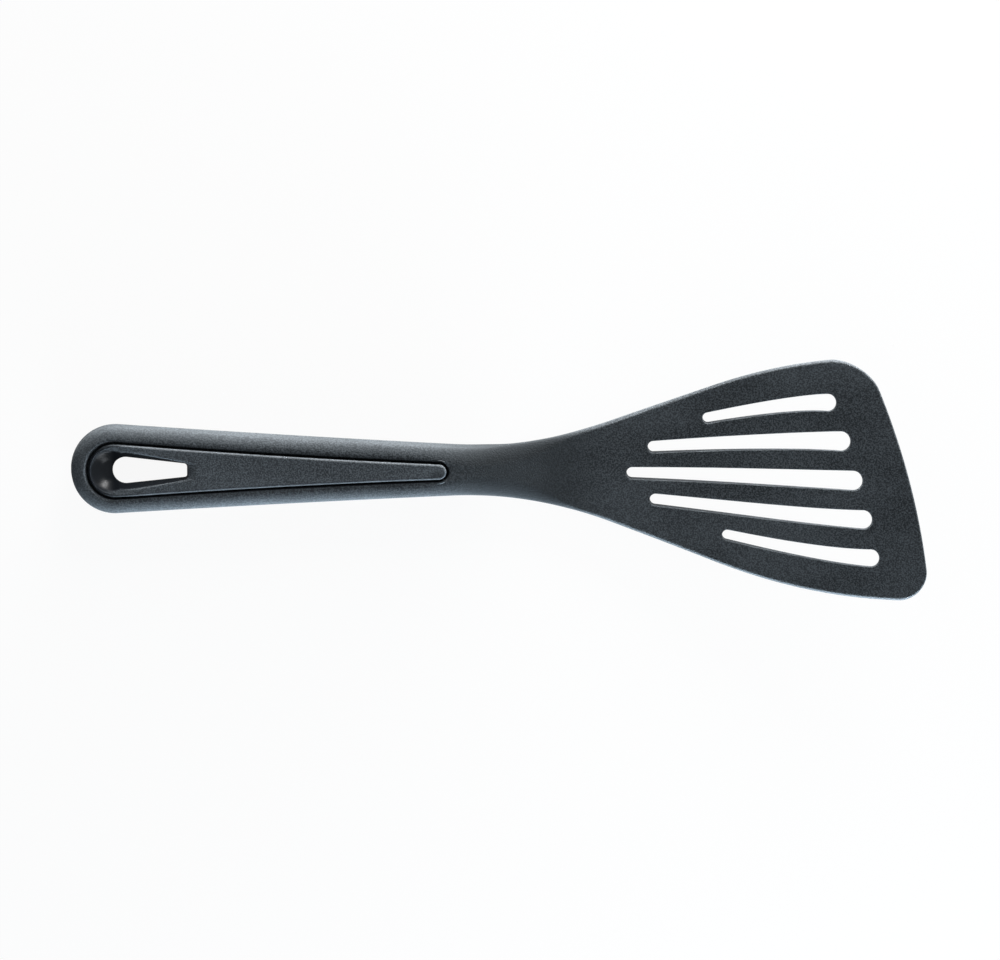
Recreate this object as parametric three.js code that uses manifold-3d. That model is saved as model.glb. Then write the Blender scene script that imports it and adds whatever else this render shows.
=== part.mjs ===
// A slotted kitchen turner: one moulded body and the inlay that is pressed into its handle.
// Sizes are in millimetres. A station runs along the centreline from the hanging end to the front
// edge, an offset runs across it and a height stands square to it, so that the long bend of the
// blade is made once, in place(), and every outline is drawn flat.
import * as THREE from "three";
import { mergeVertices } from "three/addons/utils/BufferGeometryUtils.js";
import Module from "manifold-3d";

const { clamp, degToRad, lerp, smoothstep } = THREE.MathUtils;

// Centreline: a straight handle, a long bend upwards and a straight front
const axisHeight = 6.2; // centreline above the table
const bendStation = 150;
const bendRadius = 320;
const bendAngle = degToRad(17);

// Handle
const handleEndRadius = 16; // round hanging end, seen from above
const handleTop = 5.8; // centreline to the flat top
const rimRound = 4.8; // width of the rim beside the inlay, down to the widest line
const rimDrop = 2.2; // height of its rounded part, above the steep side
const sideDraft = Math.tan(degToRad(8)); // the side leans in towards the top
const bellyRound = 6; // width of the rounding beside the flat underside
const widestDrop = 0.5; // the widest line lies this far below the centreline
const neckStation = 145;
const neckHalf = 8.8; // half width that the handle tapers to
const handleWaist = 0.3; // the flanks draw in by this much between the end and the neck
const neckRound = 7.6; // width of the rim on the neck, where the inlay has ended
const neckRoundStart = 126; // it widens from here to the neck's station
const neckRoundEnd = 160; // and narrows from here
const edgeStation = 188; // to the blade's edge here

// Blade
const flareStation = 164; // the handle's taper turns into the flare here
const flareBlend = 28; // half the length of that turn
const shoulderBlend = 32; // half the length of the turn from the flare to the level side
const upperSide = { sign: 1, flare: Math.tan(degToRad(20.45)), reach: 43.7, cornerReach: 12.8 };
const lowerSide = { sign: -1, flare: Math.tan(degToRad(19.3)), reach: 41.55, cornerReach: 11.4 };
const flattenStart = 138; // the oval neck flattens into the blade between these stations
const flattenEnd = 182;
const rootThickness = 4.6;
const frontThickness = 1;
const taperLength = 105; // the blade thins over this length behind the front edge
const edgeShare = 0.21; // width of the upper edge, as a share of the thickness
const edgeDropShare = 0.15; // height of its rounded part, as a share of the thickness
const edgeRound = 0.3; // rounding of the lower edge
const frontStation = 299.3; // front edge on the centreline
const frontSlant = Math.tan(degToRad(15.7));
const frontRadius = 217; // the front edge is slightly convex
const frontReach = 11.4; // length that a rounded corner takes off the front edge
const cornerFullness = 0.51; // 0.55 is close to a circular arc

// Drain slots: round ended, wider towards the front, all ending on one line behind the edge
const slotMargin = 16.8; // from the edge to that line, at the middle slot
const slotMarginLean = 0.0175; // that line slants by this much more than the edge
const slotDraft = Math.tan(degToRad(3)); // slots open a little towards the top
const innerSlot = { rootWidth: 4.05, frontWidth: 6.85 };
const outerSlot = { rootWidth: 3.6, frontWidth: 6.05 };
const slots = [
  { ...innerSlot, root: 199.8, rootOffset: -0.1, turn: 240, lane: 0.1 },
  { ...innerSlot, root: 207.3, rootOffset: 9.4, turn: 259, lane: 13.8 },
  { ...innerSlot, frontWidth: 6.55, root: 208.2, rootOffset: -9.4, turn: 262, lane: -13.5 },
  { ...outerSlot, root: 226.6, rootOffset: 20.3, turn: 258, lane: 27.2 },
  { ...outerSlot, root: 234.1, rootOffset: -21.15, turn: 268, lane: -27 },
];

// Hanging eye: its throat is in the inlay, and the body opens wider below it
const eyeWide = { station: 19.9, offset: 0, radius: 4.8 };
const eyeTip = { station: 40.45, offset: 1.35, radius: 1.2 };
const eyeThroatDepth = 2.6; // below the inlay's top
const eyeWideChamfer = 2.2;
const eyeTipChamfer = 0.7;
const eyeRelief = 0.8; // the body's eye stands back from the throat
const eyeDraft = Math.tan(degToRad(7)); // and widens towards the underside

// Inlay, the recess that it fills and the pegs that hold it
const fit = 0.3; // clearance between the two mouldings where they seat
const grooveWidth = 1; // shadow gap round the inlay
const recessDepth = 4.5;
const recessWide = { station: 16.2, offset: 0, radius: 10.4 };
const recessTip = { station: 131, offset: 0, radius: 3.6 };
const recessWaist = 0.55; // its flanks draw in by this much between the two round ends
const recessLip = 0.7; // rounding of the body's edge along the groove
const inlayEdgeRound = 0.5;
const dishStation = 15.3; // thumb dish that runs into the round end of the eye
const dishRimRadius = 7.4;
const dishDepth = 3;
const pegRadius = 1.3;
const pegLength = 4;
const pegStations = [50, 84, 116];
const bossHalf = 4.5; // solid material left before and behind each peg
const ledgeWidth = 2; // seat left round the cored pockets
const pocketFloor = -2.8; // height of the pockets' floor
const pocketCorner = 1; // bevel on the pockets' upright corners

// Fineness of the faceted surfaces
const roundSteps = 12; // points on a round end
const handleSteps = 8; // points along a flank of the handle
const bendSteps = 26; // along the neck and the flare
const levelSteps = 4; // along the level side before a front corner
const frontSteps = 5; // along half of the front edge
const slotSteps = 14; // along a flank of a slot
const dishSteps = 80; // round the dish's sphere
const levelAngles = [0, 18, 36, 54, 72, 90].map(degToRad);

const nudge = 0.01; // short step that gives a line's direction
const weld = 1e-4; // points closer than this are one

const wasm = await Module();
wasm.setup();

// Slope of the centreline at a station.
function slope(station) {
  return clamp((station - bendStation) / bendRadius, 0, bendAngle);
}

// Part coordinates of a station, an offset and a height.
function place(station, offset, height) {
  const turned = slope(station);
  const straight = Math.min(station, bendStation);
  const front = Math.max(0, station - bendStation - bendRadius * bendAngle);
  const x = straight + bendRadius * Math.sin(turned) + front * Math.cos(turned);
  const z = axisHeight + bendRadius * (1 - Math.cos(turned)) + front * Math.sin(turned);
  return new THREE.Vector3(x - height * Math.sin(turned), offset, z + height * Math.cos(turned));
}

// A corner between two straight lines, rounded over a blend length on each side.
function ramp(x, blend) {
  if (x <= -blend) return 0;
  return x < blend ? (x + blend) ** 2 / (4 * blend) : x;
}

// How far a flank has drawn in at a station: a shallow curve of a given depth between two stations.
function waist(station, from, to, depth) {
  const along = clamp((station - from) / (to - from), 0, 1);
  return 4 * depth * along * (1 - along);
}

// The handle's straight taper, and the station where it touches the round end.
const taper = (handleEndRadius - neckHalf) / (neckStation - handleEndRadius);
const taperTurn = Math.atan(taper);
const taperStation = handleEndRadius * (1 + Math.sin(taperTurn));

// Half width of the body on one side: round end, taper, flare and level side.
function halfWidth(station, side) {
  if (station < taperStation) return Math.sqrt(station * (2 * handleEndRadius - station));
  const start = handleEndRadius * Math.hypot(1, taper) + taper * handleEndRadius;
  const turn = side.flare + taper;
  const shoulder = (side.reach - start + turn * flareStation) / side.flare;
  const flared = start - taper * station + turn * ramp(station - flareStation, flareBlend);
  const drawn = waist(station, taperStation, neckStation, handleWaist);
  return flared - drawn - side.flare * ramp(station - shoulder, shoulderBlend);
}

// Station of the slanted front edge at an offset.
function frontEdge(offset) {
  return frontStation - frontSlant * offset - offset ** 2 / (2 * frontRadius);
}

// Thickness of the blade, thinning evenly towards the front edge.
function bladeThickness(station, offset) {
  const behind = clamp((frontEdge(offset) - station) / taperLength, 0, 1);
  return lerp(frontThickness, rootThickness, behind);
}

function sidePoint(station, side) {
  return new THREE.Vector2(station, side.sign * halfWidth(station, side));
}

function frontPoint(offset) {
  return new THREE.Vector2(frontEdge(offset), offset);
}

// Where the straight lines through two pairs of points cross.
function crossing(a, towardsA, b, towardsB) {
  const u = towardsA.clone().sub(a);
  const w = towardsB.clone().sub(b);
  const along = b.clone().sub(a).cross(w) / u.cross(w);
  return a.clone().addScaledVector(u, along);
}

// One side of the body's outline, from the hanging end to the middle of the front edge.
function sideOutline(side) {
  let corner = frontStation; // settles where the side meets the front edge
  for (let pass = 0; pass < roundSteps; pass++) corner = frontEdge(side.sign * halfWidth(corner, side));
  const leave = corner - side.cornerReach;
  const cornerOffset = halfWidth(corner, side);
  const land = side.sign * (cornerOffset - frontReach);
  const from = sidePoint(leave, side);
  const to = frontPoint(land);
  const tip = crossing(from, sidePoint(leave + nudge, side), to, frontPoint(land + side.sign * nudge));
  const turn = new THREE.CubicBezierCurve(
    from,
    from.clone().lerp(tip, cornerFullness),
    to.clone().lerp(tip, cornerFullness),
    to,
  );
  const points = [];
  for (let k = 0.5; k < roundSteps; k++) {
    const angle = (k / roundSteps) * (Math.PI / 2 + taperTurn);
    points.push(sidePoint(handleEndRadius * (1 - Math.cos(angle)), side));
  }
  const handleEnd = flattenStart - flareBlend / 2;
  for (let k = 0; k < handleSteps; k++) {
    points.push(sidePoint(lerp(taperStation, handleEnd, k / handleSteps), side));
  }
  // Both sides share these stations, so that the rungs across the bend stay square to it.
  const shared = frontEdge(upperSide.reach) - 2 * upperSide.cornerReach;
  for (let k = 0; k < bendSteps; k++) {
    points.push(sidePoint(lerp(handleEnd, shared, k / bendSteps), side));
  }
  for (let k = 0; k < levelSteps; k++) points.push(sidePoint(lerp(shared, leave, k / levelSteps), side));
  points.push(...turn.getPoints(roundSteps));
  for (let k = 1; k < frontSteps; k++) points.push(frontPoint(land * (1 - k / frontSteps)));
  return points;
}

// A closed outline from its two sides, anticlockwise seen from above.
function closed(lower, upper) {
  return [...lower, ...upper.toReversed()];
}

function mirrored(half) {
  return closed(half.map((p) => new THREE.Vector2(p.x, -p.y)), half);
}

// An outline moved inwards, square to itself, by a distance that may differ from point to point.
function inset(outline, distance) {
  return outline.map((p, i) => {
    const along = outline[(i + 1) % outline.length].clone().sub(outline.at(i - 1)).normalize();
    const d = typeof distance === "number" ? distance : distance(p);
    return new THREE.Vector2(p.x - along.y * d, p.y + along.x * d);
  });
}

// Outline with a large round end, straight flanks and a small round tip, or two corners if the tip
// has an offset.
function teardrop(wide, tip) {
  const reach = tip.station - wide.station;
  const meet = Math.atan2(tip.offset, reach)
    + Math.acos((wide.radius - tip.radius) / Math.hypot(reach, tip.offset));
  const half = [];
  const arc = (circle, from, to) => {
    for (let k = 0.5; k < roundSteps; k++) {
      const angle = lerp(from, to, k / roundSteps);
      half.push(new THREE.Vector2(
        circle.station + circle.radius * Math.cos(angle),
        circle.offset + circle.radius * Math.sin(angle),
      ));
    }
  };
  arc(wide, Math.PI, meet);
  arc(tip, meet, 0);
  return mirrored(half);
}

function shrunk(circle, by) {
  return { ...circle, radius: circle.radius - by };
}

function recessDrawn(station) {
  return waist(station, recessWide.station, recessTip.station, recessWaist);
}

// The recess's or the inlay's outline with its flanks drawn in.
function waisted(outline) {
  return outline.map((p) => new THREE.Vector2(p.x, p.y - Math.sign(p.y) * recessDrawn(p.x)));
}

// A closed surface through rings of equal count, lowest first, capped by rungs from side to side.
function stack(rings) {
  const count = rings[0].length;
  const last = (rings.length - 1) * count;
  const index = [];
  for (let r = 0; r + 1 < rings.length; r++) {
    for (let i = 0; i < count; i++) {
      const a = r * count + i;
      const b = r * count + ((i + 1) % count);
      index.push(a, b, b + count, a, b + count, a + count);
    }
  }
  for (let i = 0; i + 1 < count / 2; i++) {
    const j = count - 1 - i;
    index.push(i, j - 1, i + 1, i, j, j - 1);
    index.push(last + i, last + i + 1, last + j - 1, last + i, last + j - 1, last + j);
  }
  const geometry = new THREE.BufferGeometry().setFromPoints(rings.flat());
  return geometry.setIndex(index);
}

// A prism over outlines at given heights, lowest first.
function prism(levels) {
  return stack(levels.map(([height, outline]) => outline.map((p) => place(p.x, p.y, height))));
}

function solid(geometry) {
  geometry.deleteAttribute("normal");
  geometry.deleteAttribute("uv");
  const merged = mergeVertices(geometry, weld);
  return new wasm.Manifold(new wasm.Mesh({
    numProp: 3,
    vertProperties: merged.attributes.position.array,
    triVerts: new Uint32Array(merged.index.array),
  }));
}

function meshOf(name, made, material) {
  const { vertProperties, triVerts } = made.getMesh();
  const geometry = new THREE.BufferGeometry();
  geometry.setAttribute("position", new THREE.BufferAttribute(vertProperties, 3));
  geometry.setIndex(new THREE.BufferAttribute(triVerts, 1));
  geometry.computeVertexNormals();
  const mesh = new THREE.Mesh(geometry, material);
  mesh.name = name;
  return mesh;
}

// Handle, neck and blade: the outline's own edge law goes from a wide soft rim to a thin edge.
function bodyBlank() {
  const outline = closed(sideOutline(lowerSide), sideOutline(upperSide));
  const law = (p) => {
    const flat = smoothstep(p.x, flattenStart, flattenEnd);
    const thickness = bladeThickness(p.x, p.y);
    const handleRim = lerp(rimRound, neckRound, smoothstep(p.x, neckRoundStart, neckStation));
    const top = lerp(handleTop, thickness / 2, flat);
    const widest = lerp(-widestDrop, edgeRound - thickness / 2, flat);
    const drop = lerp(rimDrop, thickness * edgeDropShare, flat);
    return {
      top,
      widest,
      drop,
      under: lerp(-axisHeight, -thickness / 2, flat),
      rim: lerp(handleRim, thickness * edgeShare, smoothstep(p.x, neckRoundEnd, edgeStation)),
      lean: (top - drop - widest) * sideDraft,
      belly: lerp(bellyRound, edgeRound, flat),
    };
  };
  const lowerRings = levelAngles.map((angle) => {
    const ring = inset(outline, (p) => law(p).belly * (1 - Math.sin(angle)));
    return ring.map((p, i) => {
      const { widest, under } = law(outline[i]);
      return place(p.x, p.y, lerp(widest, under, Math.cos(angle)));
    });
  });
  const upperRings = levelAngles.toReversed().map((angle) => {
    const ring = inset(outline, (p) => lerp(law(p).rim, law(p).lean, Math.sin(angle)));
    return ring.map((p, i) => {
      const { top, drop } = law(outline[i]);
      return place(p.x, p.y, top - drop * (1 - Math.cos(angle)));
    });
  });
  return solid(stack([...lowerRings, ...upperRings]));
}

// One drain slot: its outline follows a curved middle line and widens towards the front. Its walls
// stand upright over the table, as a straight pull leaves them, and not square to the bent blade.
function slotCutter({ root, rootOffset, turn, lane, rootWidth, frontWidth }) {
  const rootRadius = rootWidth / 2;
  const endRadius = frontWidth / 2;
  const endStation = frontEdge(lane) - slotMargin - slotMarginLean * lane - endRadius;
  const middle = new THREE.QuadraticBezierCurve(
    new THREE.Vector2(root, rootOffset),
    new THREE.Vector2(turn, lane),
    new THREE.Vector2(endStation, lane),
  );
  const sideOf = (sign) => {
    const points = [];
    const round = (at, radius, from, to) => {
      const centre = middle.getPoint(at);
      const heading = middle.getTangent(at).angle();
      for (let k = 0.5; k < roundSteps / 2; k++) {
        const angle = heading + sign * lerp(from, to, (2 * k) / roundSteps);
        points.push(new THREE.Vector2(
          centre.x + radius * Math.cos(angle),
          centre.y + radius * Math.sin(angle),
        ));
      }
    };
    round(0, rootRadius, Math.PI, Math.PI / 2);
    for (let k = 0; k <= slotSteps; k++) {
      const at = k / slotSteps;
      const along = middle.getTangent(at);
      const half = sign * lerp(rootRadius, endRadius, at);
      const centre = middle.getPoint(at);
      points.push(new THREE.Vector2(centre.x - along.y * half, centre.y + along.x * half));
    }
    round(1, endRadius, Math.PI / 2, 0);
    return points;
  };
  const outline = closed(sideOf(-1), sideOf(1));
  const plumb = (height) => inset(outline, -height * slotDraft).map((p) => (
    new THREE.Vector2(p.x + height * Math.tan(slope(p.x)), p.y)
  ));
  const past = rootThickness; // the cutter passes both faces of the blade
  return solid(prism([[-past, plumb(-past)], [past, plumb(past)]]));
}

const recessFloor = handleTop - recessDepth;
const inlayUnderside = recessFloor + fit;
const pegEnd = inlayUnderside - pegLength;
const recessOutline = waisted(teardrop(recessWide, recessTip));
const eyeOutline = teardrop(eyeWide, eyeTip);
const above = handleTop + recessDepth; // clear of the top
const below = -2 * axisHeight; // clear of the underside

function upright(radius, low, high, station) {
  const geometry = new THREE.CylinderGeometry(radius, radius, high - low, 2 * roundSteps);
  geometry.rotateX(Math.PI / 2);
  const foot = place(station, 0, (low + high) / 2);
  return solid(geometry.translate(foot.x, foot.y, foot.z));
}

// Half width of the recess at a station on its flanks.
function recessHalf(station) {
  const along = (station - recessWide.station) / (recessTip.station - recessWide.station);
  return lerp(recessWide.radius, recessTip.radius, along) - recessDrawn(station);
}

// A cored pocket under the inlay, between two of its peg bosses.
function pocketCutter(fromPeg, toPeg) {
  const ends = [fromPeg + bossHalf, toPeg - bossHalf];
  const [wide, tip] = ends.map((station) => recessHalf(station) - ledgeWidth);
  const half = [
    new THREE.Vector2(ends[0], wide - pocketCorner),
    new THREE.Vector2(ends[0] + pocketCorner, wide),
    new THREE.Vector2(ends[1] - pocketCorner, tip),
    new THREE.Vector2(ends[1], tip - pocketCorner),
  ];
  const outline = mirrored(half);
  return solid(prism([[pocketFloor, outline], [above, outline]]));
}

function makeBody() {
  let body = bodyBlank();
  const cuts = slots.map(slotCutter);
  const lip = levelAngles.toReversed().map((angle) => [
    handleTop - recessLip * (1 - Math.cos(angle)),
    inset(recessOutline, -recessLip * (1 - Math.sin(angle))),
  ]);
  const recessMouth = lip.at(-1)[1];
  cuts.push(solid(prism([[recessFloor, recessOutline], ...lip, [above, recessMouth]])));
  const eyeLow = inset(eyeOutline, -eyeRelief - (recessFloor - below) * eyeDraft);
  const eyeHigh = inset(eyeOutline, -eyeRelief);
  cuts.push(solid(prism([[below, eyeLow], [recessFloor, eyeHigh], [above, eyeHigh]])));
  pegStations.slice(1).forEach((station, k) => cuts.push(pocketCutter(pegStations[k], station)));
  pegStations.forEach((station) => cuts.push(upright(pegRadius + fit, pegEnd - fit, above, station)));
  for (const cut of cuts) body = body.subtract(cut);
  return body;
}

function makeInlay() {
  const outlineAt = (by) => waisted(teardrop(
    shrunk(recessWide, grooveWidth + by),
    shrunk(recessTip, grooveWidth + by),
  ));
  const edge = levelAngles.toReversed().map((angle) => [
    handleTop - inlayEdgeRound * (1 - Math.cos(angle)),
    outlineAt(inlayEdgeRound * (1 - Math.sin(angle))),
  ]);
  let inlay = solid(prism([[inlayUnderside, outlineAt(0)], ...edge]));
  for (const station of pegStations) {
    inlay = inlay.add(upright(pegRadius, pegEnd, inlayUnderside + recessDepth / 2, station));
  }
  const throat = handleTop - eyeThroatDepth;
  const mouth = teardrop(shrunk(eyeWide, -eyeWideChamfer), shrunk(eyeTip, -eyeTipChamfer));
  const dishSphere = (dishRimRadius ** 2 + dishDepth ** 2) / (2 * dishDepth);
  const dishCentre = place(dishStation, 0, handleTop - dishDepth + dishSphere);
  const dish = new THREE.SphereGeometry(dishSphere, dishSteps, dishSteps / 2);
  dish.rotateX(Math.PI / 2);
  inlay = inlay.subtract(solid(prism([[below, eyeOutline], [above, eyeOutline]])));
  inlay = inlay.subtract(solid(prism([[throat, eyeOutline], [handleTop, mouth], [above, mouth]])));
  return inlay.subtract(solid(dish.translate(dishCentre.x, dishCentre.y, dishCentre.z)));
}

const bodyPlastic = new THREE.MeshStandardMaterial({ color: 0x343a3f, roughness: 0.55, metalness: 0 });
const inlayPlastic = new THREE.MeshStandardMaterial({ color: 0x3c4248, roughness: 0.6, metalness: 0 });

const turner = new THREE.Group();
turner.name = "turner";
turner.add(meshOf("turner_body", makeBody(), bodyPlastic));
turner.add(meshOf("handle_inlay", makeInlay(), inlayPlastic));

// The origin is below the middle of the whole part, on the table.
const box = new THREE.Box3().setFromObject(turner, true);
const centre = box.getCenter(new THREE.Vector3());
turner.position.set(-centre.x, -centre.y, -box.min.z);

export default turner;
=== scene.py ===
import math

import bmesh
import bpy
from mathutils import Matrix, Vector


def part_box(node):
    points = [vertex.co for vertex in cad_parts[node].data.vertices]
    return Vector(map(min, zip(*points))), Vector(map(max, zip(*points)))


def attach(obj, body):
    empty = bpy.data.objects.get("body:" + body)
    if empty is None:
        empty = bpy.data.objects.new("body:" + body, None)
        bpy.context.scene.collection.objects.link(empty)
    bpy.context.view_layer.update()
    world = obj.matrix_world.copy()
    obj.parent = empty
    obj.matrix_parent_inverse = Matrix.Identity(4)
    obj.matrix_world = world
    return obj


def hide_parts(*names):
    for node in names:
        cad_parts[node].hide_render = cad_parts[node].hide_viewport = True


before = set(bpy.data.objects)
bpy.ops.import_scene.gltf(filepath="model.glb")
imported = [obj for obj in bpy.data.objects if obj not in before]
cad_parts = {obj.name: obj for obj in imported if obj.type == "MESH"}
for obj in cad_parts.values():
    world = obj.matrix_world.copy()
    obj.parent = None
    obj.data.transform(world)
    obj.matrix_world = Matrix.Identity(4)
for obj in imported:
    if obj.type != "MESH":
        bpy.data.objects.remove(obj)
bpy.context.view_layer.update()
print("frame loaded:", sorted(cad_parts))

mm = 0.001
hair = 0.001  # tolerance in millimetres


# small helpers that both pieces use
def lerp(a, b, t):
    return a + (b - a) * t


def smoothStep(x, low, high):
    t = min(1, max(0, (x - low) / (high - low)))
    return t * t * (3 - 2 * t)


def softMin(a, b, blend):  # the lower of two heights, with a rounded crease
    t = min(1, max(0, 0.5 + 0.5 * (b - a) / blend))
    return lerp(b, a, t) - blend * t * (1 - t)


def tangent(slope):  # of an angle in degrees
    return math.tan(math.radians(slope))


def quarterTurn(steps):  # angles from 0 to a right angle
    return [k / steps * math.pi / 2 for k in range(steps + 1)]


def moved(outline, outward):  # outline pushed outwards, square to itself
    shifted = []
    for i, (x, y) in enumerate(outline):
        nextX, nextY = outline[(i + 1) % len(outline)]
        lastX, lastY = outline[i - 1]
        along = Vector((nextX - lastX, nextY - lastY)).normalized()
        shifted.append((x + along.y * outward[i], y - along.x * outward[i]))
    return shifted


def mirrored(half):  # closed outline from its upper half, anticlockwise from above
    return [(x, -y) for x, y in half] + half[::-1]


def teardrop(wide, tip, arcSteps, flankSteps):  # circles as station, offset, radius
    reach = tip[0] - wide[0]
    meet = math.atan2(tip[1], reach) + math.acos((wide[2] - tip[2]) / math.hypot(reach, tip[1]))
    half = []
    for k in range(arcSteps):
        turn = lerp(math.pi, meet, (k + 0.5) / arcSteps)
        half.append((wide[0] + wide[2] * math.cos(turn), wide[1] + wide[2] * math.sin(turn)))
    start = Vector((wide[0] + wide[2] * math.cos(meet), wide[1] + wide[2] * math.sin(meet)))
    end = Vector((tip[0] + tip[2] * math.cos(meet), tip[1] + tip[2] * math.sin(meet)))
    for k in range(flankSteps):
        half.append(tuple(start.lerp(end, k / (flankSteps - 1))))
    for k in range(arcSteps // 2):
        turn = lerp(meet, 0, (k + 0.5) / (arcSteps // 2))
        half.append((tip[0] + tip[2] * math.cos(turn), tip[1] + tip[2] * math.sin(turn)))
    return mirrored(half)


def grown(circle, by):
    return (circle[0], circle[1], circle[2] + by)


def raised(outline, heights):
    return [(x, y, z) for (x, y), z in zip(outline, heights)]


def level(outline, outward, height):
    return raised(moved(outline, [outward] * len(outline)), [height] * len(outline))


def startRing(bm, points):  # a closed loop of edges
    ring = [bm.verts.new(p) for p in points]
    for i in range(len(ring)):
        bm.edges.new((ring[i - 1], ring[i]))
    return ring


def ringEdges(bm, ring):
    return [bm.edges.get((ring[i - 1], ring[i])) for i in range(len(ring))]


def growRing(bm, ring, points):  # extrudes a loop and moves the new one into place
    made = bmesh.ops.extrude_edge_only(bm, edges=ringEdges(bm, ring))["geom"]
    fresh = {g for g in made if isinstance(g, bmesh.types.BMVert)}
    after = []
    for vert, point in zip(ring, points):
        twin = next(e.other_vert(vert) for e in vert.link_edges if e.other_vert(vert) in fresh)
        twin.co = point
        after.append(twin)
    return after


def sleeve(bm, rows):  # a run of loops, one extruded from the other
    rings = [startRing(bm, rows[0])]
    for row in rows[1:]:
        rings.append(growRing(bm, rings[-1], row))
    return rings


def onlyFaces(geom):
    return [g for g in geom if isinstance(g, bmesh.types.BMFace)]


def fillBetween(bm, rings):  # a flat skin with the inner loops as holes
    edges = [e for ring in rings for e in ringEdges(bm, ring)]
    made = bmesh.ops.triangle_fill(
        bm, use_beauty=True, use_dissolve=False, edges=edges, normal=(0, 0, 1))
    return onlyFaces(made["geom"])


def crossCuts(bm, faces, points, normal, snap):  # parallel cuts, moved to a corner within snap
    for point in points:
        geom = set(faces)
        for f in faces:
            geom.update(f.edges)
            geom.update(f.verts)
        made = bmesh.ops.bisect_plane(
            bm, geom=list(geom), dist=snap, plane_co=point, plane_no=normal)
        faces = onlyFaces(made["geom"])
    return faces


# turner body, one moulding: stations run along the bent middle line, in millimetres
bodyShape = {
    "axisHeight": 6.2, "bendStation": 150, "bendRadius": 320, "bendAngle": 17,
    # section of the handle
    "top": 5.8, "sideDraft": 8, "belly": 6, "widestDrop": 0.5,
    "rim": 4.8, "rimDrop": 2.5, "rimSupport": 0.06,
    # towards the neck the rim gets shallower, then wider, and its upper side turns under early;
    # of four stations the first two are where that grows and the others where it fades
    "neckDrop": 2, "neckDropSpan": (75, 120),
    "neckRim": 7.6, "neckRimSpan": (126, 145, 155, 183),
    "tuck": 0.8, "tuckSpan": (146, 158, 171, 186),
    "flattenStart": 138, "flattenEnd": 182, "topEnd": 187,
    # outline
    "endRadius": 16, "neckStation": 145, "neckHalf": 8.8, "waist": 0.3,
    "flareStation": 164, "flareBlend": 28, "shoulderBlend": 32,
    # sign, flare in degrees, reach, corner reach
    "upperSide": (1, 20.45, 43.7, 12.8), "lowerSide": (-1, 19.3, 41.55, 11.4),
    "frontStation": 299.3, "frontSlant": 15.7, "frontRadius": 217,
    "frontReach": 11.4, "cornerFullness": 0.51,
    # section of the blade, with a chamfer that grows over the span and a nearly sharp front
    "rootThickness": 4.6, "frontThickness": 1, "taperLength": 105,
    "edge": 0.8, "edgeDrop": 0.6, "edgeDropShare": 0.04, "edgeRound": 0.3,
    "edgeChamfer": 0.75, "edgeSpan": (172, 192), "frontShare": 0.3, "frontFade": 12,
    "slotMargin": 16.8, "slotMarginLean": 0.0175, "slotDraft": 3, "slotLip": 0.28,
    "slots": [  # root station and offset, turn, lane, root and front width
        (199.8, -0.1, 240, 0.1, 4.05, 6.85),
        (207.3, 9.4, 259, 13.8, 4.05, 6.85),
        (208.2, -9.4, 262, -13.5, 4.05, 6.55),
        (226.6, 20.3, 258, 27.2, 3.6, 6.05),
        (234.1, -21.15, 268, -27, 3.6, 6.05),
    ],
    # recess and eye: circles as station, offset, radius
    "recessWide": (16.2, 0, 10.4), "recessTip": (131, 0, 3.6),
    "recessDepth": 4.5, "recessLip": 0.7, "recessWaist": 0.55,
    "recessFoot": ((0, 0.4), (0.12, 0.12), (0.4, 0)),  # inwards and above the floor
    "eyeWide": (19.9, 0, 4.8), "eyeTip": (40.45, 1.35, 1.2),
    "eyeRelief": 0.8, "eyeDraft": 7, "eyeLip": 0.5,
    "eyeMouth": ((0.3, 0), (0.08, 0.08), (0.04, 0.3)),  # outwards and below the floor
    # stations between which the smooth wall, also painted lighter as if lit, fades in and the satin of the
    # handle fades out
    "wallSpan": (190, 285), "wallShare": 0.5, "satinSpan": (150, 190),
    "support": 0.5,  # width of the flat strip kept beside each rounded lip
    # cuts that let the skins bend
    "cutLead": 2, "cutSpacing": 2.5, "cutCount": 66, "cutShift": 0.6, "cutReach": 16, "cutSnap": 0.35,
    # fineness
    "lowerSteps": 10, "flankSteps": 3, "rimSteps": 14, "lipSteps": 5, "recessLipSteps": 6,
    "endSteps": 40, "taperSteps": 30, "flareSteps": 64, "sideSteps": 12, "taperLead": 14,
    "cornerRounds": 12, "cornerSteps": 28, "frontSteps": 24, "slotEndSteps": 14, "slotSideSteps": 40,
    "recessSteps": (48, 30), "eyeSteps": (36, 12),
}
shape = bodyShape
bodyLow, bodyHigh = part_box("turner_body")


def turned(station):  # how far the middle line has turned up, in radians
    bent = (station - shape["bendStation"]) / shape["bendRadius"]
    return min(math.radians(shape["bendAngle"]), max(0, bent))


def bend(point):  # station, offset and height above the middle line to millimetres from the hanging end
    station, offset, height = point
    angle = turned(station)
    radius = shape["bendRadius"]
    front = max(0, station - shape["bendStation"] - radius * math.radians(shape["bendAngle"]))
    x = min(station, shape["bendStation"]) + radius * math.sin(angle) + front * math.cos(angle)
    z = shape["axisHeight"] + radius * (1 - math.cos(angle)) + front * math.sin(angle)
    return Vector((x - height * math.sin(angle), offset, z + height * math.cos(angle)))


def rounded(x, blend):  # a corner between two straight lines
    if x <= -blend:
        return 0
    return (x + blend) ** 2 / (4 * blend) if x < blend else x


def drawnIn(station, start, end, depth):  # a flank's shallow waist between two stations
    t = min(1, max(0, (station - start) / (end - start)))
    return 4 * depth * t * (1 - t)


def waisted(outline):  # the recess or the inlay, drawn in along its flanks
    span = (shape["recessWide"][0], shape["recessTip"][0], shape["recessWaist"])
    return [(x, y - math.copysign(drawnIn(x, *span), y)) for x, y in outline]


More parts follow.
